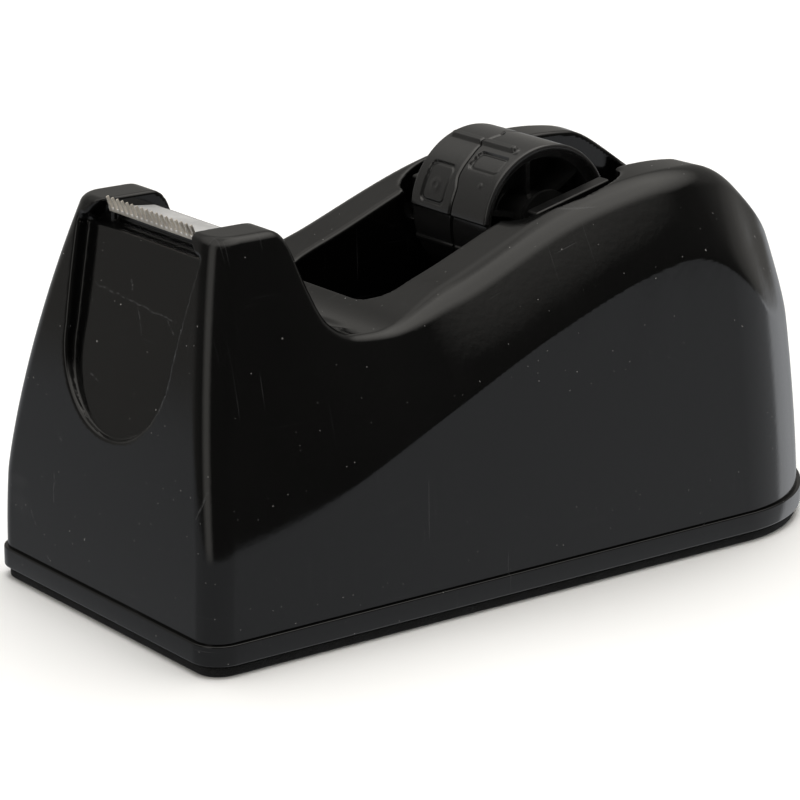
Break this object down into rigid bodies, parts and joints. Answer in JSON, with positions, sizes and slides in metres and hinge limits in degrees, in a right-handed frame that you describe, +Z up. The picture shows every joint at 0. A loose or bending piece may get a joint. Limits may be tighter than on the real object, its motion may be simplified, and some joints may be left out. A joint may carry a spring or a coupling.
{
  "type": "tape dispenser",
  "caption": "Weighted desk tape dispenser with a serrated cutter between two horns, a deep roll well and a lift-out hub that turns on an axle.",
  "frame": {"origin": "middle of the underside of the foam pad", "axes": "+Z up, +Y towards the back of the body (the long way), -Y towards the cutter, +X towards the right-hand side, across the tape"},
  "size_m": [0.0614, 0.1318, 0.0656],
  "materials": {
    "shell_plastic": "glossy black moulded plastic with fine dust and handling scratches",
    "hub_plastic": "satin-gloss black moulded plastic",
    "washer_plastic": "matte black nylon",
    "base_plastic": "matte black moulded plastic",
    "foam": "black closed-cell foam",
    "screw_steel": "zinc-plated steel",
    "cast_weight": "rough cast iron",
    "blade_steel": "bright rolled stainless steel",
    "axle_steel": "drawn steel rod"
  },
  "bodies": {
    "body": {"body_shell": "shell_plastic", "base_plate": "base_plastic", "foam_pad": "foam", "base_screw_front_left": "screw_steel", "base_screw_front_right": "screw_steel", "base_screw_rear_left": "screw_steel", "base_screw_rear_right": "screw_steel", "ballast_under_well": "cast_weight", "ballast_tower": "cast_weight", "cutter_blade": "blade_steel"},
    "hub_carrier": {"hub_axle": "axle_steel", "axle_shoe_left": "hub_plastic", "axle_shoe_right": "hub_plastic"},
    "hub_drum": {"hub_half_left": "hub_plastic", "hub_half_right": "hub_plastic", "friction_washer_left": "washer_plastic", "friction_washer_right": "washer_plastic"}
  },
  "joints": [
    {"name": "hub_lift", "type": "slide", "parent": "body", "child": "hub_carrier", "axis": [0, 0, 1], "range_m": [0, 0.045]},
    {"name": "hub_spin", "type": "hinge", "parent": "hub_carrier", "child": "hub_drum", "pos_m": [0, 0.0129, 0.0531], "axis": [1, 0, 0], "continuous": true}
  ]
}
